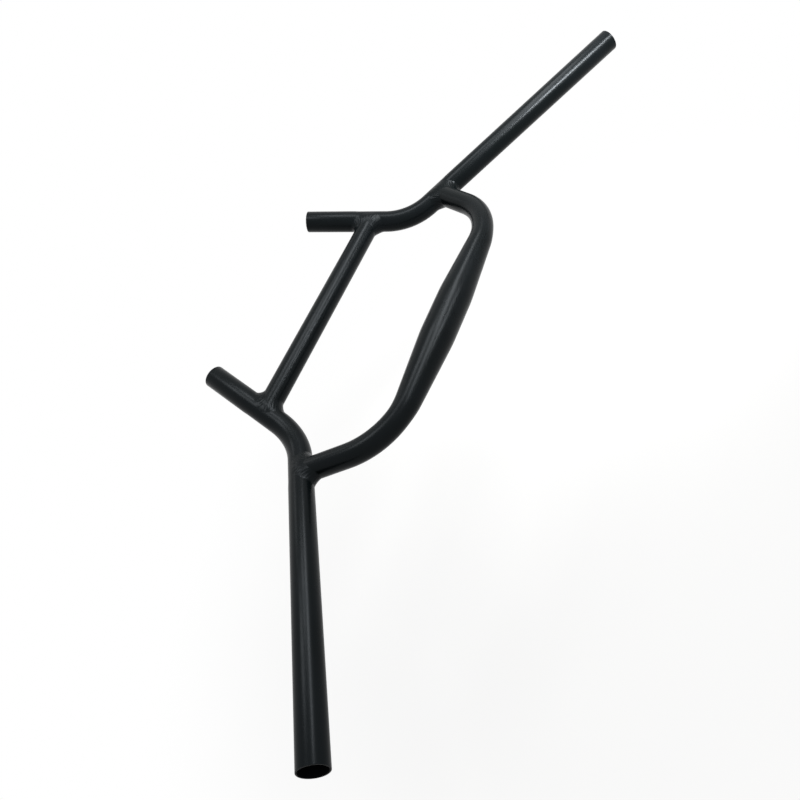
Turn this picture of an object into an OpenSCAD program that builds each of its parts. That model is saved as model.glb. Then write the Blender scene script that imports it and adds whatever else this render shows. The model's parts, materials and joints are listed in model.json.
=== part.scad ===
// Loop handlebar for a bicycle: a bent clamp tube carries two side tubes, each
// a swept-back grip that bends up and forward into a short horn, and a
// crossbar ties the two horns together. The four joints are welded.
//
// Origin: middle of the clamp section. X runs along the bar, the right side
// positive. Y points forward. Z points up, and both grips lie level.

/* [Clamp tube] */
// Outside diameter of the section that the stem clamps
clamp_d = 31.8; // [25.4:0.1:35]
// Length of the section that the stem clamps
clamp_w = 50; // [46:1:76]
// Outside diameter of the legs beyond the tapers
leg_d = 21.4; // [20:0.1:21.5]
// Distance between the outer ends of the two tapers
taper_span = 180; // [150:1:180]
// Distance between the starts of the two leg bends
straight_span = 181.4; // [181:0.1:200]
// Centre-line radius of each leg bend
leg_bend_r = 69; // [60:1:80]
// Angle that each leg turns through, forward
leg_bend_angle = 62; // [55:1:80]
// Straight run of each leg between its bend and the side tube's centre line
leg_run = 46; // [30:1:50]
// Tilt of the legs above level
leg_tilt = 6.5; // [0:0.5:12]

/* [Side tubes] */
// Outside diameter of the gripped ends, which are the grip and the horn's end
grip_d = 22.2; // [22.2:0.1:23]
// Outside diameter between those ends, where the tube is bent and welded
neck_d = 21.8; // [21.7:0.1:21.9]
// Sweep of the grips, back from straight across
grip_sweep = 36; // [20:0.5:45]
// Grip length from the tip of the bend's centre lines to the open end
grip_run = 284; // [220:1:300]
// Horn length from the tip of the bend's centre lines to the open end
horn_run = 114; // [90:1:150]
// Distance from that tip to where the grip's full diameter starts
grip_from = 60; // [58:0.5:80]
// The same for the horn
horn_from = 63; // [60:0.5:80]
// Angle between the grip's line and the horn's line
horn_bend_angle = 44; // [30:0.5:50]
// Centre-line radius of that bend
horn_bend_r = 68; // [50:1:72]
// Roll of that bend above level, which lifts the horns
horn_roll = 43.5; // [30:0.5:60]
// Distance along the grip from the tip of the bend's lines to the leg
leg_place = 43; // [42:0.5:45]

/* [Crossbar] */
// Outside diameter of the crossbar
cross_d = 21.4; // [18:0.1:21.5]
// Distance along the horn from the tip of the bend's lines to the crossbar
cross_place = 43.5; // [42:0.5:60]

/* [Tube walls and welds] */
// Wall of the clamp tube
clamp_wall = 1.4; // [1:0.1:3]
// Wall of the side tubes and the crossbar
wall = 1.2; // [1:0.1:2.5]
// How far each weld bead spreads over the tubes that it joins
weld_leg = 3; // [2:0.5:5]

/* [Hidden] */
$fn = 96;

tube_color = "#1f2426";
weld_color = "#2b3032";

// Overrun of a bore past an open tube end
over = 1;
// The straight tube after a bend has this much less radius, as drawing thins it
relief = 0.02;
// That straight tube starts this far inside the bend
lap = 0.1;
// How far each weld's blank runs back along its tube, and past the other's centre line
weld_reach = 26;
weld_past = weld_leg / 2;

// Centre-line points of the right side
leg_bend_forward = leg_bend_r * (1 - cos(leg_bend_angle));
joint_x = straight_span / 2 + leg_bend_r * sin(leg_bend_angle) + leg_run * cos(leg_bend_angle);
joint_reach = leg_bend_forward + leg_run * sin(leg_bend_angle);
joint = [joint_x, joint_reach * cos(leg_tilt), joint_reach * sin(leg_tilt)];
grip_line = [cos(grip_sweep), -sin(grip_sweep), 0];
tip = joint - leg_place * grip_line;

// Straight lengths left on each side of the horn bend
bend_tangent = horn_bend_r * tan(horn_bend_angle / 2);
grip_straight = grip_run - bend_tangent;
horn_straight = horn_run - bend_tangent;

// The horn's direction: the bend turns forward and up, out of the grip's line
bend_side = [
    sin(grip_sweep) * cos(horn_roll), cos(grip_sweep) * cos(horn_roll), sin(horn_roll)
];
horn_line = sin(horn_bend_angle) * bend_side - cos(horn_bend_angle) * grip_line;
cross_end = tip + cross_place * horn_line;

// A rod along +Y, from one distance to another
module rod_y(r, from, to) {
    translate([0, from, 0]) rotate([-90, 0, 0]) cylinder(r = r, h = to - from);
}

// A rod along +X, from one distance to another
module rod_x(r, from, to) {
    translate([from, 0, 0]) rotate([0, 90, 0]) cylinder(r = r, h = to - from);
}

// A cone along +X, from one distance to another
module cone_x(r1, r2, from, to) {
    translate([from, 0, 0]) rotate([0, 90, 0]) cylinder(r1 = r1, r2 = r2, h = to - from);
}

// A bend that starts at the origin along +Y and turns towards +X
module bend(r, bend_r, angle) {
    translate([bend_r, 0, 0]) mirror([1, 0, 0])
        rotate_extrude(angle = angle) translate([bend_r, 0]) circle(r = r);
}

// Carries its children from the start of such a bend to its end
module after_bend(bend_r, angle) {
    translate([bend_r, 0, 0]) rotate([0, 0, -angle]) translate([-bend_r, 0, 0]) children();
}

// Solid form of the right side tube, whose ends run past by extra. Between the
// gripped ends its radius is less by neck.
module side_form(r, extra = 0, neck = 0) {
    grip_edge = bend_tangent - grip_from;
    horn_edge = horn_from - bend_tangent;
    translate(tip) rotate([0, 0, 90 - grip_sweep]) rotate([0, -horn_roll, 0])
        translate([0, -bend_tangent, 0]) {
            rod_y(r, -grip_straight - extra, grip_edge);
            rod_y(r - neck, grip_edge, 0);
            bend(r - neck, horn_bend_r, horn_bend_angle);
            after_bend(horn_bend_r, horn_bend_angle) {
                rod_y(r - neck - relief, -lap, horn_edge);
                rod_y(r - relief, horn_edge, horn_straight + extra);
            }
        }
}

// The right side tube without its bore
module side_blank() {
    side_form(grip_d / 2, 0, (grip_d - neck_d) / 2);
}

// Carries its children to the start of the right leg bend, +Y along the tube
module at_leg_bend() {
    translate([straight_span / 2, 0, 0]) rotate([0, 0, -90]) mirror([1, 0, 0]) children();
}

// Solid form of the clamp tube, inset by its wall for the bore. Only its legs
// show the tilt, because the middle is round about X.
module clamp_form(inset = 0) {
    clamp_r = clamp_d / 2 - inset;
    leg_r = leg_d / 2 - inset;
    rotate([leg_tilt, 0, 0]) {
        rod_x(clamp_r, -clamp_w / 2, clamp_w / 2);
        both_sides() {
            cone_x(clamp_r, leg_r, clamp_w / 2, taper_span / 2);
            rod_x(leg_r, taper_span / 2, straight_span / 2);
            at_leg_bend() {
                bend(leg_r, leg_bend_r, leg_bend_angle);
                after_bend(leg_bend_r, leg_bend_angle) rod_y(leg_r - relief, -lap, leg_run);
            }
        }
    }
}

// A round blank on the right leg's end, for its weld and to cut that weld's bore
module leg_end_rod(r, from, to) {
    rotate([leg_tilt, 0, 0]) at_leg_bend() after_bend(leg_bend_r, leg_bend_angle)
        rod_y(r, leg_run + from, leg_run + to);
}

// Solid form of the crossbar
module cross_form(r) {
    translate([0, cross_end.y, cross_end.z]) rod_x(r, -cross_end.x, cross_end.x);
}

module both_sides() {
    children();
    mirror([1, 0, 0]) children();
}

module clamp_tube() {
    color(tube_color) difference() {
        clamp_form();
        clamp_form(clamp_wall);
        both_sides() side_blank();
    }
}

module right_side_tube() {
    color(tube_color) difference() {
        side_blank();
        side_form(grip_d / 2 - wall, over);
    }
}

module left_side_tube() {
    mirror([1, 0, 0]) right_side_tube();
}

module crossbar() {
    color(tube_color) difference() {
        cross_form(cross_d / 2);
        cross_form(cross_d / 2 - wall);
        both_sides() side_blank();
    }
}

// Bead in the corner between the right leg and the side tube
module right_clamp_weld() {
    color(weld_color) difference() {
        intersection() {
            leg_end_rod(leg_d / 2 + weld_leg, -weld_reach, weld_past);
            side_form(neck_d / 2 + weld_leg);
        }
        leg_end_rod(leg_d / 2 - relief, -weld_reach - over, 0);
        side_blank();
    }
}

module left_clamp_weld() {
    mirror([1, 0, 0]) right_clamp_weld();
}

// Bead in the corner between the crossbar and the right horn
module right_crossbar_weld() {
    color(weld_color) difference() {
        intersection() {
            translate(cross_end) rod_x(cross_d / 2 + weld_leg, -weld_reach, weld_past);
            side_form(neck_d / 2 + weld_leg);
        }
        cross_form(cross_d / 2);
        side_blank();
    }
}

module left_crossbar_weld() {
    mirror([1, 0, 0]) right_crossbar_weld();
}

clamp_tube();
left_side_tube();
right_side_tube();
crossbar();
left_clamp_weld();
right_clamp_weld();
left_crossbar_weld();
right_crossbar_weld();
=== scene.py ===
"""Loop handlebar for a bicycle, in satin black enamel over welded steel tube.

Four tubes and four weld beads: a clamp tube that a stem holds, two side tubes
that are each a swept-back grip and a raised horn, and a crossbar between the
horns. X runs along the bar, Y forward and Z up, in metres.
"""

import json
from math import atan2, ceil, cos, pi, radians, sin, tan

import bmesh
import bpy
from bpy.props import (
    FloatProperty,
    FloatVectorProperty,
    IntProperty,
    PointerProperty,
    StringProperty,
)
from mathutils import Euler, Matrix, Vector


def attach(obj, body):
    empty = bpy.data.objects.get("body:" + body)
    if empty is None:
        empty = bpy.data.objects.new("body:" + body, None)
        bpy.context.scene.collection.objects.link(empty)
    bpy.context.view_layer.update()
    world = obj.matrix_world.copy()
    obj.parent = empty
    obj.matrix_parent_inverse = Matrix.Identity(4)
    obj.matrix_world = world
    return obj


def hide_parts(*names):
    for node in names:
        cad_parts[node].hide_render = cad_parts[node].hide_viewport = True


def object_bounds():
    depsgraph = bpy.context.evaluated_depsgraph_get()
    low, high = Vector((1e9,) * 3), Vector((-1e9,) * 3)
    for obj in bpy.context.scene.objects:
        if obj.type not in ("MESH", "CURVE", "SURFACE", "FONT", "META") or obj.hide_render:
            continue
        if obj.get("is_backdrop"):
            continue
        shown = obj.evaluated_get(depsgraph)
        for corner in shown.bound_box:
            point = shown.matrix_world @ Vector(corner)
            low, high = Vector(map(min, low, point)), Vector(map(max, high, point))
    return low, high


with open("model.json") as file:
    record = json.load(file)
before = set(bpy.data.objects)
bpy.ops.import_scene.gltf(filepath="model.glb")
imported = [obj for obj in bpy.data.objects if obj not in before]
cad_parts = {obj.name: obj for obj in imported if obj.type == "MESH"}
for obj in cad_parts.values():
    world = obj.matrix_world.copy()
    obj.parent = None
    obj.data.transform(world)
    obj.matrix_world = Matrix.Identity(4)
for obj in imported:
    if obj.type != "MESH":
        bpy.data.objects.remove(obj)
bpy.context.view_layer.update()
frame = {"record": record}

bl_info = {
    "name": "Loop handlebar",
    "version": (1, 0, 0),
    "blender": (4, 5, 0),
    "location": "View3D > Sidebar > Handlebar",
    "description": "Builds a welded loop handlebar with its finish, its lamps and its camera",
    "category": "Object",
}

MM = 0.001
BODY = "root"
MOUNTS = {mount["name"]: mount for mount in frame["record"]["mounts"]}
HANDS = ("right", "left")
ALONG_X = Vector((1, 0, 0))
WHITE = (1.0, 1.0, 1.0, 1.0)

# How finely the meshes are made

# Turn of one step in a bend, and steps from the clamp tube's middle to its bend
BEND_STEP = radians(2)
STRAIGHT_STEPS = 40
# Corners of a tube closer than this are made one
MERGE = MM / 100
# A corner this little short of a place along a tube counts as past it
PLACE_SLACK = MM / 10
# An end starts this many side-tube radii short of that tube's centre line, and is then
# slid up to its outside in this many rounds
COPE_START = 2
COPE_ROUNDS = 24
# An edge that turns more than this is shaded sharp, and one that turns more still is a rim
SHARP_EDGE = radians(38)
RIM_EDGE = radians(60)
RIM_SEGMENTS = 3
# Each corner of a taper is eased over this share of it, to both sides
TAPER_EASE = 0.07


def mount_size(name, key):
    """A mount's stated size, in metres."""
    return MOUNTS[name]["dims"][key] * MM


def length(label, text, default, low=0.0):
    """A property for a length in metres."""
    return FloatProperty(
        name=label, description=text, default=default, min=low, precision=5,
        subtype="DISTANCE", unit="LENGTH",
    )


def angle(label, text, degrees):
    """A property for an angle, given in degrees."""
    return FloatProperty(
        name=label, description=text, default=radians(degrees), subtype="ANGLE", unit="ROTATION",
    )


def share(label, text, default):
    """A property for a plain number from 0 to 1."""
    return FloatProperty(name=label, description=text, default=default, min=0.0, max=1.0)


# Sizes and colours that a user would change


class HandlebarSizes(bpy.types.PropertyGroup):
    """The tubes' driving dimensions."""

    clamp_radius: length(
        "Clamp radius", "Outside radius where the stem clamps", mount_size("stem_clamp", "r_mm"))
    clamp_width: length(
        "Clamp width", "Length of the section that the stem clamps",
        mount_size("stem_clamp", "length_mm"))
    leg_radius: length("Leg radius", "Outside radius of the legs beyond the tapers", 10.7 * MM)
    taper_end: length("Taper end", "Along the tube from its middle to the taper's end", 108 * MM)
    straight_span: length(
        "Straight span", "Distance between the starts of the leg bends", 181.4 * MM)
    leg_bend_radius: length("Leg bend", "Centre-line radius of each leg bend", 69 * MM)
    leg_bend_angle: angle("Leg turn", "Angle that each leg turns through", 62)
    leg_run: length("Leg run", "From the leg's bend to the side tube's centre line", 46 * MM)
    leg_tilt: angle("Leg tilt", "Tilt of the legs above level", 6.5)
    grip_radius: length(
        "Grip radius", "Outside radius of the gripped ends", mount_size("right_grip", "r_mm"))
    neck_radius: length(
        "Neck radius", "Outside radius where the side tubes are bent and welded", 10.9 * MM)
    grip_from: length("Grip from", "From the bend's tip to where the grip is full size", 60 * MM)
    horn_from: length("Horn from", "From the bend's tip to where the horn is full size", 63 * MM)
    neck_blend: length("Neck blend", "Length over which the tube thins to its neck", 6 * MM)
    grip_sweep: angle("Grip sweep", "Sweep of the grips, back from straight across", 36)
    grip_run: length("Grip run", "From the tip of the bend's lines to the open end", 284 * MM)
    horn_run: length("Horn run", "From the tip of the bend's lines to the open end", 114 * MM)
    horn_bend_angle: angle("Horn turn", "Angle between the grip's and the horn's lines", 44)
    horn_bend_radius: length("Horn bend", "Centre-line radius of the horn bend", 68 * MM)
    horn_roll: angle("Horn roll", "Roll of the horn bend above level", 43.5)
    leg_place: length("Leg place", "From the tip of the bend's lines back to the leg", 43 * MM)
    cross_radius: length("Crossbar radius", "Outside radius of the crossbar", 10.7 * MM)
    cross_place: length("Crossbar place", "From the tip of the lines up to the crossbar", 43.5 * MM)
    clamp_wall: length("Clamp tube wall", "Wall of the clamp tube", 1.4 * MM)
    wall: length("Wall", "Wall of the side tubes and the crossbar", 1.2 * MM)
    rim_round: length("Rim round", "Rounding of the open tube ends", 0.3 * MM)
    ring_faces: IntProperty(
        name="Ring faces", description="Faces round each tube", default=96, min=24)


class HandlebarWelds(bpy.types.PropertyGroup):
    """The weld beads' size and ripple.

    Real ripples are 1 to 2 mm apart, and are drawn wider here so that they show.
    """

    toe: length("Toe", "How far each bead runs out over the tubes", 7.4 * MM)
    crown: length("Crown", "How proud the bead stands of a plain fillet", 1.0 * MM)
    ripple: length("Ripple", "Depth of the ripples", 0.2 * MM)
    pitch: length("Pitch", "Distance between ripples", 2.4 * MM)
    sink: length("Sink", "How far the bead's underside lies under the tubes", 0.4 * MM)


class HandlebarFinish(bpy.types.PropertyGroup):
    """The enamel, and the steel in the bores and on the cut ends, coloured near black as painted
    shade.
    """

    enamel: StringProperty(
        name="Enamel", description="Satin black, slightly cool", default="#060a0b")
    enamel_thin: StringProperty(
        name="Thin enamel", description="Where the coat is thinner and shows a little grey",
        default="#0a0e10")
    enamel_sheen: StringProperty(
        name="Enamel sheen", description="Tint of the coat's mirror light", default="#edf6fd")
    # This near-black colour is painted shade, for the bores and the cut ends.
    bore_painted_shade: StringProperty(
        name="Bare steel", description="Blackened bare steel in the bores and on the cut ends",
        default="#0d0d0f")
    enamel_roughness: share("Enamel roughness", "Roughness of the satin coat", 0.28)
    enamel_specular: share("Enamel specular", "Specular level of the satin coat", 0.1)
    peel: length("Orange peel", "Width of the coat's fine waves", 3.5 * MM)
    peel_depth: length("Peel depth", "Depth of those waves", 0.003 * MM)


class HandlebarStage(bpy.types.PropertyGroup):
    """The camera, the floor and the lamps."""

    camera_place: FloatVectorProperty(
        name="Camera place", description="Where the camera stands", size=3, precision=5,
        subtype="TRANSLATION", unit="LENGTH", default=(-341.6 * MM, -372.5 * MM, 352.6 * MM))
    camera_turn: FloatVectorProperty(
        name="Camera turn", description="How the camera is turned", size=3, subtype="EULER",
        unit="ROTATION", default=(radians(43.026), radians(33.271), radians(-63.587)))
    camera_lens: FloatProperty(
        name="Lens", description="Focal length", default=30.455, unit="CAMERA")
    floor_drop: length("Floor drop", "From the part's lowest point down to the floor", 0.28)
    floor_size: length("Floor size", "Side of the square floor", 12.0)
    floor_color: StringProperty(name="Floor", description="Pale floor", default="#f2f2f0")
    floor_shade: share("Floor shade", "How much of the floor's own shading shows", 0.18)
    shade_reach: length("Shade reach", "From the part's middle to where the floor is plain", 0.75)
    world_light: share("World light", "Strength of the even light from all round", 0.2)


# Where the tubes run, for the right side


class Layout:
    """The right side's centre lines, worked out from the driving dimensions."""

    def __init__(self, s):
        bend = s.leg_bend_angle
        tilt = Matrix.Rotation(s.leg_tilt, 3, "X")
        self.leg_start = Vector((s.straight_span / 2, 0, 0))
        self.leg_centre = tilt @ Vector((s.straight_span / 2, s.leg_bend_radius, 0))
        self.leg_axis = tilt @ Vector((0, 0, 1))
        self.leg_line = tilt @ Vector((cos(bend), sin(bend), 0))
        self.leg_bend_end = tilt @ Vector((
            s.straight_span / 2 + s.leg_bend_radius * sin(bend),
            s.leg_bend_radius * (1 - cos(bend)), 0))
        self.leg_bend_angle = bend
        self.joint = self.leg_bend_end + self.leg_line * s.leg_run
        self.grip_line = Vector((cos(s.grip_sweep), -sin(s.grip_sweep), 0))
        self.bend_side = Vector((
            sin(s.grip_sweep) * cos(s.horn_roll), cos(s.grip_sweep) * cos(s.horn_roll),
            sin(s.horn_roll)))
        self.bend_angle = s.horn_bend_angle
        self.bend_radius = s.horn_bend_radius
        self.horn_line = (
            self.bend_side * sin(self.bend_angle) - self.grip_line * cos(self.bend_angle))
        tangent = s.horn_bend_radius * tan(s.horn_bend_angle / 2)
        self.tip = self.joint - self.grip_line * s.leg_place
        self.grip_start = self.on_grip(tangent)
        self.grip_end = self.on_grip(s.grip_run)
        self.horn_start = self.on_horn(tangent)
        self.horn_end = self.on_horn(s.horn_run)
        self.bend_centre = self.grip_start + self.bend_side * s.horn_bend_radius
        self.bend_axis = (-self.grip_line).cross(self.bend_side)
        self.cross_end = self.on_horn(s.cross_place)

    def on_grip(self, distance):
        """The centre of the grip at a distance from the tip of the bend's lines."""
        return self.tip + self.grip_line * distance

    def on_horn(self, distance):
        """The centre of the horn at a distance from that tip."""
        return self.tip + self.horn_line * distance

    def on_leg(self, point):
        """The clamp tube's centre line beside this point, and how far along it that is."""
        if point.x <= self.leg_start.x:
            return Vector((point.x, 0, 0)), point.x
        back = self.leg_start - self.leg_centre
        out = point - self.leg_centre
        turn = atan2(out.dot(ALONG_X), out.dot(back.normalized()))
        if turn <= self.leg_bend_angle:
            core = self.leg_centre + Matrix.Rotation(turn, 3, self.leg_axis) @ back
            return core, self.leg_start.x + turn * back.length
        run = (point - self.leg_bend_end).dot(self.leg_line)
        core = self.leg_bend_end + self.leg_line * run
        return core, self.leg_start.x + self.leg_bend_angle * back.length + run

    def nearest(self, point):
        """The nearest point to this one on the right side tube's centre line."""
        grip_length = (self.grip_end - self.grip_start).length
        horn_length = (self.horn_end - self.horn_start).length
        along_grip = min(max((point - self.grip_start).dot(self.grip_line), 0), grip_length)
        along_horn = min(max((point - self.horn_start).dot(self.horn_line), 0), horn_length)
        out = point - self.bend_centre
        turn = atan2(-out.dot(self.grip_line), -out.dot(self.bend_side))
        turn = min(max(turn, 0), self.bend_angle)
        on_bend = self.bend_centre - self.bend_radius * (
            self.grip_line * sin(turn) + self.bend_side * cos(turn))
        choices = (
            self.grip_start + self.grip_line * along_grip,
            self.horn_start + self.horn_line * along_horn,
            on_bend,
        )
        return min(choices, key=lambda place: (point - place).length)


# Mesh building


def start_ring(mesh, place, direction, radius, faces):
    """An open ring of edges round a place, facing along a direction."""
    turn = direction.to_track_quat("Z", "Y").to_matrix().to_4x4()
    made = bmesh.ops.create_circle(
        mesh, cap_ends=False, radius=radius, segments=faces,
        matrix=Matrix.Translation(place) @ turn)
    mesh.verts.index_update()
    return ring_of(made["verts"])


def ring_of(corners):
    """The edges that join these corners to each other."""
    inside = set(corners)
    edges = {edge for corner in corners for edge in corner.link_edges}
    return [edge for edge in edges if edge.verts[0] in inside and edge.verts[1] in inside]


def middle_of(ring):
    """The middle of a ring of edges, summed in one order so that every run is alike."""
    corners = sorted({corner for edge in ring for corner in edge.verts}, key=lambda c: c.index)
    return sum((corner.co for corner in corners), Vector()) / len(corners)


def run_straight(mesh, ring, step):
    """Extrudes a ring along a step and returns the new ring."""
    made = bmesh.ops.extrude_edge_only(mesh, edges=ring)["geom"]
    corners = [item for item in made if isinstance(item, bmesh.types.BMVert)]
    bmesh.ops.translate(mesh, verts=corners, vec=step)
    mesh.verts.index_update()
    return ring_of(corners)


def run_bend(mesh, ring, centre, axis, turn):
    """Spins a ring through a bend and returns the new ring."""
    made = bmesh.ops.spin(
        mesh, geom=ring, cent=centre, axis=axis, angle=turn, steps=ceil(turn / BEND_STEP),
        use_merge=False, use_duplicate=False)["geom_last"]
    mesh.verts.index_update()
    return [item for item in made if isinstance(item, bmesh.types.BMEdge)]


def put_in_order(mesh):
    """Rebuilds the mesh with its edges and faces sorted, so that every run is alike."""
    mesh.verts.index_update()
    count = len(mesh.verts)

    def place(item):
        corners = [corner.index for corner in item.verts]
        return min(corners) * count + max(corners)

    mesh.edges.sort(key=place)
    mesh.faces.sort(key=place)
    ordered = bpy.data.meshes.new("ordered")
    mesh.to_mesh(ordered)
    mesh.clear()
    mesh.from_mesh(ordered)
    bpy.data.meshes.remove(ordered)


def give_wall(mesh, wall):
    """Turns an open tube skin into a tube with a wall inside it."""
    put_in_order(mesh)
    bmesh.ops.recalc_face_normals(mesh, faces=mesh.faces[:])
    bmesh.ops.solidify(mesh, geom=mesh.faces[:], thickness=wall)
    bmesh.ops.recalc_face_normals(mesh, faces=mesh.faces[:])


def mirrored(mesh):
    """Turns a right-hand mesh into its left-hand twin."""
    bmesh.ops.scale(mesh, vec=(-1, 1, 1), verts=mesh.verts[:])
    bmesh.ops.reverse_faces(mesh, faces=mesh.faces[:])


def eased(part, ease):
    """0 to 1 in a straight ramp as part goes 0 to 1, with both corners rounded."""
    if part < ease:
        return max(part + ease, 0) ** 2 / (4 * ease)
    if part > 1 - ease:
        return 1 - max(1 + ease - part, 0) ** 2 / (4 * ease)
    return part


def cope(corners, line, side, radius):
    """Slides corners along a line until they meet the side tube's outside."""
    for corner in corners:
        for _ in range(COPE_ROUNDS):
            corner.co += line * ((corner.co - side.nearest(corner.co)).length - radius)


def finish_piece(mesh, name, nodes, materials, is_bore_or_end=None):
    """Makes an object of the mesh, gives it its finish and puts it in the frame."""
    put_in_order(mesh)
    # Faces of the bores and cut ends take the second material, near black as painted shade.
    if is_bore_or_end:
        for face in mesh.faces:
            face.material_index = 1 if is_bore_or_end(face) else 0
    data = bpy.data.meshes.new(name)
    mesh.to_mesh(data)
    mesh.free()
    data.shade_smooth()
    data.set_sharp_from_angle(angle=SHARP_EDGE)
    piece = bpy.data.objects.new(name, data)
    bpy.context.scene.collection.objects.link(piece)
    for material in materials:
        data.materials.append(material)
    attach(piece, BODY)
    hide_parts(*nodes)


# Finishes

# Widths of the coat's thin places and of its glossier ones, and of the steel's patches
THIN_WIDTH = 38 * MM
GLOSS_WIDTH = 16 * MM
PATCH_WIDTH = 4 * MM
# How far the coat's roughness goes below and above its stated value
GLOSSIER = 0.015
DULLER = 0.02


def linear(hex_color):
    """An sRGB hex colour as the linear values that shaders use, with a full alpha."""
    parts = [int(hex_color[i:i + 2], 16) / 255 for i in (1, 3, 5)]
    values = [p / 12.92 if p <= 0.04045 else ((p + 0.055) / 1.055) ** 2.4 for p in parts]
    return (*values, 1.0)


def add_node(tree, kind, inputs=None, **settings):
    """Adds a node with its settings, and sets or links its inputs."""
    node = tree.nodes.new(kind)
    for name, value in settings.items():
        setattr(node, name, value)
    for name, value in (inputs or {}).items():
        if isinstance(value, bpy.types.NodeSocket):
            tree.links.new(value, node.inputs[name])
        else:
            node.inputs[name].default_value = value
    return node


def new_material(name):
    """An empty node material and its tree, with its output."""
    material = bpy.data.materials.get(name) or bpy.data.materials.new(name)
    material.use_nodes = True
    material.node_tree.nodes.clear()
    return material, material.node_tree, material.node_tree.nodes.new("ShaderNodeOutputMaterial")


def satin_enamel(finish):
    """Stoved satin black enamel over steel: dark, slightly cool, with soft long highlights.

    The coat is sprayed, so it has the fine waves of orange peel, a faint
    cloudiness in its gloss, and a slightly greyer tone where it went on thin.
    Real peel is 1 to 2 mm wide, and is drawn wider here so that it shows.
    """
    material, tree, output = new_material("satin_enamel")
    place = add_node(tree, "ShaderNodeTexCoord").outputs["Object"]
    clouds = add_node(tree, "ShaderNodeTexNoise", {
        "Vector": place, "Scale": 1 / THIN_WIDTH, "Detail": 3.0, "Roughness": 0.55})
    thin = add_node(tree, "ShaderNodeMapRange", {
        "Value": clouds.outputs["Fac"], "From Min": 0.38, "From Max": 0.66})
    tone = add_node(tree, "ShaderNodeMix", {
        "Factor": thin.outputs["Result"], "A": linear(finish.enamel),
        "B": linear(finish.enamel_thin)}, data_type="RGBA")
    haze = add_node(tree, "ShaderNodeTexNoise", {
        "Vector": place, "Scale": 1 / GLOSS_WIDTH, "Detail": 1.0, "Roughness": 0.5})
    gloss = add_node(tree, "ShaderNodeMapRange", {
        "Value": haze.outputs["Fac"], "From Min": 0.3, "From Max": 0.7,
        "To Min": finish.enamel_roughness - GLOSSIER, "To Max": finish.enamel_roughness + DULLER})
    waves = add_node(tree, "ShaderNodeTexNoise", {
        "Vector": place, "Scale": 1 / finish.peel, "Detail": 1.5, "Roughness": 0.4})
    relief = add_node(tree, "ShaderNodeBump", {
        "Height": waves.outputs["Fac"], "Distance": finish.peel_depth, "Strength": 0.5})
    paint = add_node(tree, "ShaderNodeBsdfPrincipled", {
        "Base Color": tone.outputs["Result"], "Roughness": gloss.outputs["Result"],
        "Normal": relief.outputs["Normal"], "Specular IOR Level": finish.enamel_specular,
        "Specular Tint": linear(finish.enamel_sheen)})
    tree.links.new(paint.outputs["BSDF"], output.inputs["Surface"])
    return material


def steel_with_painted_shade(finish):
    """Dull, patchy steel in the bores and on the cut ends, near black as painted shade."""
    material, tree, output = new_material("steel_with_painted_shade")
    place = add_node(tree, "ShaderNodeTexCoord").outputs["Object"]
    patches = add_node(tree, "ShaderNodeTexNoise", {
        "Vector": place, "Scale": 1 / PATCH_WIDTH, "Detail": 4.0, "Roughness": 0.6})
    shine = add_node(tree, "ShaderNodeMapRange", {
        "Value": patches.outputs["Fac"], "To Min": 0.5, "To Max": 0.75})
    # The base colour is near black as painted shade.
    steel = add_node(tree, "ShaderNodeBsdfPrincipled", {
        "Base Color": linear(finish.bore_painted_shade), "Metallic": 1.0, "Roughness": shine.outputs["Result"]})
    tree.links.new(steel.outputs["BSDF"], output.inputs["Surface"])
    return material


def finishes():
    """The two materials of an open tube: its coat, and the steel of its bore and cut ends, near
    black as painted shade.
    """
    finish = bpy.context.scene.handlebar_finish
    return [satin_enamel(finish), steel_with_painted_shade(finish)]


def coat_only():
    """The one material of a piece that shows no bare steel."""
    return [satin_enamel(bpy.context.scene.handlebar_finish)]


# Operators for the tubes


class HANDLEBAR_OT_clamp_tube(bpy.types.Operator):
    """Builds the clamp tube: thick in the middle, tapered, with its two bent legs"""

    bl_idname = "handlebar.clamp_tube"
    bl_label = "Clamp tube"

    def execute(self, context):
        s = context.scene.handlebar_sizes
        side = Layout(s)
        mesh = bmesh.new()
        ring = start_ring(mesh, Vector((0, 0, 0)), ALONG_X, s.leg_radius, s.ring_faces)
        for _ in range(STRAIGHT_STEPS):
            ring = run_straight(mesh, ring, side.leg_start / STRAIGHT_STEPS)
        ring = run_bend(mesh, ring, side.leg_centre, side.leg_axis, s.leg_bend_angle)
        run_straight(mesh, ring, side.leg_line * s.leg_run)
        self.swell(mesh, side, s)
        bmesh.ops.mirror(mesh, geom=mesh.verts[:] + mesh.edges[:] + mesh.faces[:], axis="X",
                         merge_dist=MERGE)
        bmesh.ops.remove_doubles(mesh, verts=mesh.verts[:], dist=MERGE)
        give_wall(mesh, s.clamp_wall)
        self.cope_legs(mesh, side, s)
        finish_piece(mesh, "formed_clamp_tube", ["clamp_tube"], coat_only())
        return {"FINISHED"}

    def swell(self, mesh, side, s):
        """Swells the middle to the clamp section, with tapers that ease in and out."""
        for corner in mesh.verts:
            core, along = side.on_leg(corner.co)
            part = (along - s.clamp_width / 2) / (s.taper_end - s.clamp_width / 2)
            swing = s.leg_radius - s.clamp_radius
            radius = s.clamp_radius + swing * eased(part, TAPER_EASE)
            corner.co = core + (corner.co - core).normalized() * radius

    def cope_legs(self, mesh, side, s):
        """Cuts both leg ends to the round of the side tubes, the left one as if it were right."""
        for way in (1, -1):
            flip = Matrix.Scale(way, 3, ALONG_X)
            ends = [
                corner for corner in mesh.verts
                if (flip @ corner.co - side.joint).dot(side.leg_line) > -s.leg_run / 2
                and corner.co.x * way > s.straight_span / 2
            ]
            for corner in ends:
                corner.co = flip @ corner.co - side.leg_line * s.neck_radius * COPE_START
            cope(ends, side.leg_line, side, s.neck_radius)
            for corner in ends:
                corner.co = flip @ corner.co


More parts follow.
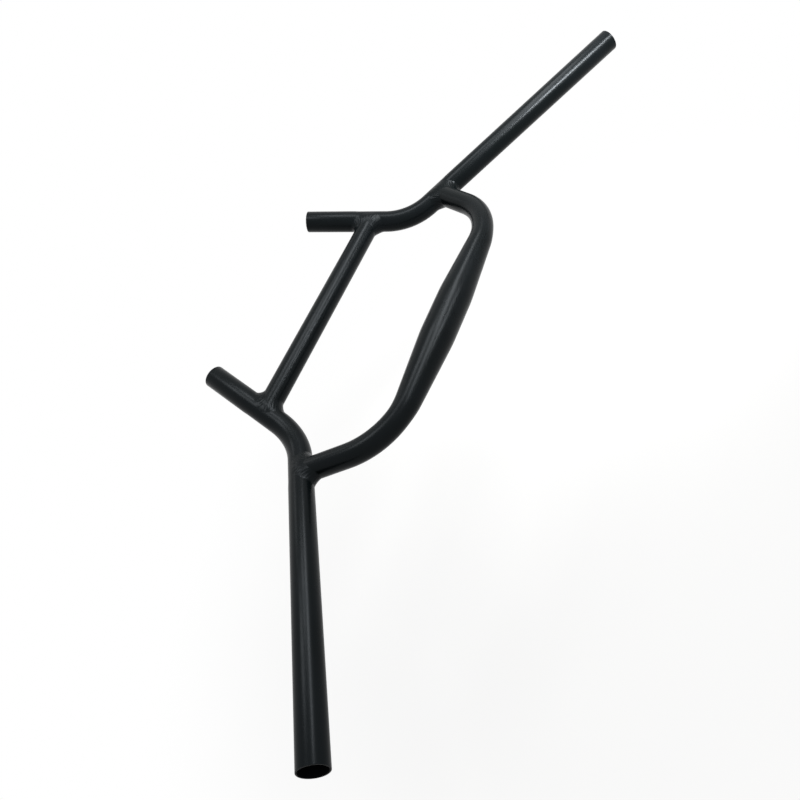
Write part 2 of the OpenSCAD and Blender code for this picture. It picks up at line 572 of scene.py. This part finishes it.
class HANDLEBAR_OT_side_tubes(bpy.types.Operator):
    """Builds the left and right side tubes: a straight grip, a bend and a straight horn"""

    bl_idname = "handlebar.side_tubes"
    bl_label = "Side tubes"

    def execute(self, context):
        s = context.scene.handlebar_sizes
        side = Layout(s)
        for hand in HANDS:
            mesh = self.tube(side, s)
            if hand == "left":
                mirrored(mesh)
            self.round_rims(mesh, s)
            finish_piece(mesh, f"{hand}_grip_and_horn", [f"{hand}_side_tube"], finishes(),
                         is_bore_or_end=lambda face: self.is_bore_or_end(face, side, s))
        return {"FINISHED"}

    def tube(self, side, s):
        """The right side tube, from the grip's end to the horn's end."""
        mesh = bmesh.new()
        ring = start_ring(mesh, side.grip_end, side.grip_line, s.neck_radius, s.ring_faces)
        for stop in (s.grip_from, s.grip_from - s.neck_blend):
            ring = run_straight(mesh, ring, side.on_grip(stop) - middle_of(ring))
        ring = run_straight(mesh, ring, side.grip_start - middle_of(ring))
        ring = run_bend(mesh, ring, side.bend_centre, side.bend_axis, side.bend_angle)
        for stop in (s.horn_from - s.neck_blend, s.horn_from, s.horn_run):
            ring = run_straight(mesh, ring, side.on_horn(stop) - middle_of(ring))
        for corner in mesh.verts:
            self.fill_out(corner, side, s)
        give_wall(mesh, s.wall)
        return mesh

    def fill_out(self, corner, side, s):
        """Moves a corner of a gripped end out to the grip's radius."""
        along_grip = (corner.co - side.tip).dot(side.grip_line)
        along_horn = (corner.co - side.tip).dot(side.horn_line)
        if along_grip > s.grip_from - PLACE_SLACK or along_horn > s.horn_from - PLACE_SLACK:
            core = side.nearest(corner.co)
            corner.co = core + (corner.co - core).normalized() * s.grip_radius

    def round_rims(self, mesh, s):
        """Takes the sharp corner off both edges of each open end."""
        rims = [edge for edge in mesh.edges if edge.calc_face_angle(0) > RIM_EDGE]
        bmesh.ops.bevel(
            mesh, geom=rims, offset=s.rim_round, offset_type="OFFSET", segments=RIM_SEGMENTS,
            profile=0.5, affect="EDGES", material=-1, clamp_overlap=True)

    def is_bore_or_end(self, face, side, s):
        """Is this face on the inside wall or on the cut end, where the steel with painted shade
        goes?
        """
        middle = face.calc_center_median()
        middle.x = abs(middle.x)
        return (middle - side.nearest(middle)).length < s.grip_radius - s.rim_round


class HANDLEBAR_OT_crossbar(bpy.types.Operator):
    """Builds the straight crossbar between the horns, coped to their round at both ends"""

    bl_idname = "handlebar.crossbar"
    bl_label = "Crossbar"

    def execute(self, context):
        s = context.scene.handlebar_sizes
        side = Layout(s)
        middle = Vector((0, side.cross_end.y, side.cross_end.z))
        reach = ALONG_X * (side.cross_end.x - s.neck_radius * COPE_START)
        mesh = bmesh.new()
        ring = start_ring(mesh, middle - reach, ALONG_X, s.cross_radius, s.ring_faces)
        run_straight(mesh, ring, reach * 2)
        give_wall(mesh, s.wall)
        for _ in HANDS:
            right_end = [corner for corner in mesh.verts if corner.co.x > 0]
            cope(right_end, ALONG_X, side, s.neck_radius)
            mirrored(mesh)
        finish_piece(mesh, "cross_tube", ["crossbar"], coat_only())
        return {"FINISHED"}


# Operators for the weld beads


class Bead:
    """A weld bead round a branch tube that meets the right side tube.

    Each section of it is a fillet from a toe on the branch to a toe on the
    side tube, with a low rippled crown, and an underside sunk in both tubes.
    """

    # Rows over the face and underneath, and columns to each ripple
    face_rows = 12
    under_rows = 4
    ripple_columns = 6
    # How far a ripple's middle lags behind its ends, as a turn of its wave
    ripple_lag = 0.9
    # Turn to each side from which the joint's direction is taken
    nudge = 0.02
    # Steps in which the way round the joint is measured
    measure_steps = 24
    # The search for the joint's corner starts this many side-tube radii out along the
    # branch, and takes this many rounds
    search_start = 3
    search_rounds = 40
    # The middle of the underside lies this many times deeper than its sides
    keel = 2
    # Corners of the bead closer than this are made one
    merge = MM / 200

    def __init__(self, side, side_radius, joint, branch_line, branch_radius, welds):
        self.side = side
        self.side_radius = side_radius
        self.joint = joint
        self.out = -branch_line
        self.radius = branch_radius
        self.welds = welds
        self.across = self.out.orthogonal().normalized()
        self.up = self.out.cross(self.across)

    def around(self, turn):
        """The direction out from the branch's centre line at an angle round it."""
        return self.across * cos(turn) + self.up * sin(turn)

    def corner(self, turn):
        """Where the branch's outside meets the side tube's, at an angle round the branch."""
        place = self.joint + self.around(turn) * self.radius
        place += self.out * self.side_radius * self.search_start
        for _ in range(self.search_rounds):
            place -= self.out * ((place - self.side.nearest(place)).length - self.side_radius)
        return place

    def on_side(self, place):
        """The place on the side tube's outside nearest this one, and the way out there."""
        core = self.side.nearest(place)
        way = (place - core).normalized()
        return core + way * self.side_radius, way

    def section(self, turn):
        """The corners and directions that one section of the bead is drawn from."""
        root, side_way = self.on_side(self.corner(turn))
        branch_way = self.around(turn)
        seam = self.corner(turn + self.nudge) - self.corner(turn - self.nudge)
        away = side_way.cross(seam).normalized()
        if away.dot(branch_way - self.out) < 0:
            away = -away
        side_toe, toe_way = self.on_side(root + away * self.welds.toe)
        branch_toe = root + self.out * self.welds.toe
        face_way = (branch_way + side_way).normalized()
        return branch_toe, root, side_toe, branch_way, face_way, toe_way

    def point(self, section, row, wave):
        """A point of a section: the rows run over the face to the side tube, then back under."""
        branch_toe, root, side_toe, branch_way, face_way, toe_way = section
        sink = self.welds.sink
        if row > self.face_rows:
            under = (side_toe - toe_way * sink, root - face_way * sink * self.keel,
                     branch_toe - branch_way * sink, branch_toe)
            return under[row - self.face_rows - 1]
        part = row / self.face_rows
        fillet = (branch_toe * (1 - part) ** 2 + root * 2 * part * (1 - part)
                  + side_toe * part ** 2)
        swell = sin(pi * part)
        ripple = self.welds.ripple * abs(sin(wave + self.ripple_lag * swell))
        return fillet + face_way * swell * (self.welds.crown + ripple)

    def count_ripples(self):
        """How many ripples fit round the joint."""
        stops = [self.corner(2 * pi * k / self.measure_steps) for k in range(self.measure_steps)]
        way_round = sum((stop - stops[k - 1]).length for k, stop in enumerate(stops))
        return round(way_round / self.welds.pitch)

    def build(self):
        """The bead as a closed mesh, from a grid wrapped round the branch."""
        ripples = self.count_ripples()
        columns = ripples * self.ripple_columns
        rows = self.face_rows + self.under_rows
        mesh = bmesh.new()
        bmesh.ops.create_grid(mesh, x_segments=columns, y_segments=rows, size=0.5)
        sections = {}
        for corner in mesh.verts:
            column = round((corner.co.x + 0.5) * columns) % columns
            row = round((corner.co.y + 0.5) * rows)
            if column not in sections:
                sections[column] = self.section(2 * pi * column / columns)
            wave = pi * ripples * column / columns
            corner.co = self.point(sections[column], row, wave)
        bmesh.ops.remove_doubles(mesh, verts=mesh.verts[:], dist=self.merge)
        bmesh.ops.recalc_face_normals(mesh, faces=mesh.faces[:])
        return mesh


def lay_beads(bead, label, node):
    """Puts a bead on the right side and its twin on the left."""
    for hand in HANDS:
        mesh = bead.build()
        if hand == "left":
            mirrored(mesh)
        finish_piece(mesh, f"{hand}_{label}", [f"{hand}_{node}"], coat_only())


class HANDLEBAR_OT_clamp_welds(bpy.types.Operator):
    """Lays the weld beads where the clamp tube's legs meet the side tubes"""

    bl_idname = "handlebar.clamp_welds"
    bl_label = "Leg weld beads"

    def execute(self, context):
        s = context.scene.handlebar_sizes
        side = Layout(s)
        bead = Bead(side, s.neck_radius, side.joint, side.leg_line, s.leg_radius,
                    context.scene.handlebar_welds)
        lay_beads(bead, "leg_bead", "clamp_weld")
        return {"FINISHED"}


class HANDLEBAR_OT_crossbar_welds(bpy.types.Operator):
    """Lays the weld beads where the crossbar meets the horns"""

    bl_idname = "handlebar.crossbar_welds"
    bl_label = "Crossbar weld beads"

    def execute(self, context):
        s = context.scene.handlebar_sizes
        side = Layout(s)
        bead = Bead(side, s.neck_radius, side.cross_end, ALONG_X, s.cross_radius,
                    context.scene.handlebar_welds)
        lay_beads(bead, "crossbar_bead", "crossbar_weld")
        return {"FINISHED"}


# Stage


class HANDLEBAR_OT_stage(bpy.types.Operator):
    """Sets up the camera, the pale floor, the even light and the lamps"""

    bl_idname = "handlebar.stage"
    bl_label = "Stage"

    def execute(self, context):
        stage = context.scene.handlebar_stage
        context.scene.view_settings.view_transform = "Standard"
        self.camera(context, stage)
        self.floor(context, stage)
        self.world(context, stage)
        self.lamps(context)
        return {"FINISHED"}

    def camera(self, context, stage):
        """The camera, at the viewing angle that the settings give."""
        data = bpy.data.cameras.new("view")
        data.sensor_width = 36
        data.lens = stage.camera_lens
        data.clip_start = 0.01
        camera = bpy.data.objects.new("view", data)
        camera.location = stage.camera_place
        camera.rotation_euler = Euler(stage.camera_turn)
        context.scene.collection.objects.link(camera)
        context.scene.camera = camera

    def floor(self, context, stage):
        """A pale floor that looks white, and still keeps a soft shadow."""
        mesh = bmesh.new()
        bmesh.ops.create_grid(mesh, x_segments=1, y_segments=1, size=stage.floor_size / 2)
        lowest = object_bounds()[0][2]
        bmesh.ops.translate(mesh, verts=mesh.verts[:], vec=(0, 0, lowest - stage.floor_drop))
        data = bpy.data.meshes.new("floor")
        mesh.to_mesh(data)
        mesh.free()
        floor = bpy.data.objects.new("floor", data)
        context.scene.collection.objects.link(floor)
        material, tree, output = new_material("pale_floor")
        lit = add_node(tree, "ShaderNodeBsdfDiffuse", {"Color": linear(stage.floor_color)})
        white = add_node(tree, "ShaderNodeEmission", {"Color": WHITE, "Strength": 1.0})
        place = add_node(tree, "ShaderNodeTexCoord").outputs["Object"]
        away = add_node(tree, "ShaderNodeVectorMath", {0: place}, operation="LENGTH")
        plain = add_node(tree, "ShaderNodeMapRange", {
            "Value": away.outputs["Value"], "From Min": stage.shade_reach / 2,
            "From Max": stage.shade_reach, "To Min": 1 - stage.floor_shade, "To Max": 1.0},
            interpolation_type="SMOOTHSTEP")
        whiteness = add_node(tree, "ShaderNodeMath", {
            0: self.seen(tree), 1: plain.outputs["Result"]}, operation="MULTIPLY")
        mixed = add_node(tree, "ShaderNodeMixShader", {
            0: whiteness.outputs[0], 1: lit.outputs["BSDF"], 2: white.outputs["Emission"]})
        tree.links.new(mixed.outputs["Shader"], output.inputs["Surface"])
        data.materials.append(material)
        floor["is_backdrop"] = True

    def seen(self, tree):
        """1 for the rays that show the background: straight, in gloss and through glass."""
        path = add_node(tree, "ShaderNodeLightPath")
        either = add_node(tree, "ShaderNodeMath", {
            0: path.outputs["Is Camera Ray"], 1: path.outputs["Is Glossy Ray"]},
            operation="MAXIMUM")
        return add_node(tree, "ShaderNodeMath", {
            0: either.outputs[0], 1: path.outputs["Is Transmission Ray"]},
            operation="MAXIMUM").outputs[0]

    def world(self, context, stage):
        """Even light from all round, and a background that looks white."""
        world = context.scene.world or bpy.data.worlds.new("world")
        context.scene.world = world
        world.use_nodes = True
        tree = world.node_tree
        tree.nodes.clear()
        output = tree.nodes.new("ShaderNodeOutputWorld")
        even = add_node(tree, "ShaderNodeBackground", {
            "Color": WHITE, "Strength": stage.world_light})
        white = add_node(tree, "ShaderNodeBackground", {"Color": WHITE, "Strength": 1.0})
        mixed = add_node(tree, "ShaderNodeMixShader", {
            0: self.seen(tree), 1: even.outputs["Background"], 2: white.outputs["Background"]})
        tree.links.new(mixed.outputs["Shader"], output.inputs["Surface"])

    def lamps(self, context):
        """Two long lamps, each laid along a grip that it lights, and three round ones."""
        middle = Vector((0, 0, 0))
        grip_middle = Vector((0.34, -0.05, 0.01))
        left_way, right_way = Vector((-0.81, -0.59, 0)), Vector((0.81, -0.59, 0))
        # Place, what it is aimed at, the way it lies, spread in degrees, length, breadth, watts
        for name, place, aim, way, spread, size, breadth, power in (
                ("ceiling_lamp", (0.51, -0.34, 0.79), middle, left_way, 180, 0.95, 0.24, 7.8),
                ("window_lamp", (0.4, -0.52, 0.42), grip_middle, right_way, 60, 0.3, 0.12, 1.2),
                ("overhead_lamp", (0.5, 0.02, 1.17), middle, right_way, 180, 0.4, 0.4, 3.9),
                ("top_lamp", (0, 0.25, 1.17), middle, right_way, 180, 0.4, 0.4, 3.0),
                ("rim_lamp", (0.2, 0.8, 0.9), middle, right_way, 180, 0.3, 0.3, 0.6)):
            data = bpy.data.lights.new(name, "AREA")
            data.shape = "ELLIPSE"
            data.size = size
            data.size_y = breadth
            data.energy = power
            data.spread = radians(spread)
            lamp = bpy.data.objects.new(name, data)
            lamp.location = place
            out = (lamp.location - aim).normalized()
            across = out.cross(way).normalized()
            lamp.rotation_euler = Matrix((across.cross(out), across, out)).transposed().to_euler()
            lamp.visible_camera = False
            context.scene.collection.objects.link(lamp)


class HANDLEBAR_PT_panel(bpy.types.Panel):
    """Lists the builders in the sidebar"""

    bl_idname = "HANDLEBAR_PT_panel"
    bl_label = "Loop handlebar"
    bl_space_type = "VIEW_3D"
    bl_region_type = "UI"
    bl_category = "Handlebar"

    def draw(self, context):
        for builder in BUILDERS:
            self.layout.operator(builder.bl_idname)


GROUPS = {
    "handlebar_sizes": HandlebarSizes,
    "handlebar_welds": HandlebarWelds,
    "handlebar_finish": HandlebarFinish,
    "handlebar_stage": HandlebarStage,
}
BUILDERS = (
    HANDLEBAR_OT_stage,
    HANDLEBAR_OT_clamp_tube,
    HANDLEBAR_OT_side_tubes,
    HANDLEBAR_OT_crossbar,
    HANDLEBAR_OT_clamp_welds,
    HANDLEBAR_OT_crossbar_welds,
)


def register():
    """Adds the settings, the builders and the panel."""
    for kind in (*GROUPS.values(), *BUILDERS, HANDLEBAR_PT_panel):
        bpy.utils.register_class(kind)
    for name, kind in GROUPS.items():
        setattr(bpy.types.Scene, name, PointerProperty(type=kind))


def unregister():
    """Takes them away again."""
    for name in GROUPS:
        delattr(bpy.types.Scene, name)
    for kind in reversed((*GROUPS.values(), *BUILDERS, HANDLEBAR_PT_panel)):
        bpy.utils.unregister_class(kind)


def main():
    """Builds the whole handlebar."""
    register()
    for builder in BUILDERS:
        area, name = builder.bl_idname.split(".")
        getattr(getattr(bpy.ops, area), name)()


if __name__ == "__main__":
    main()
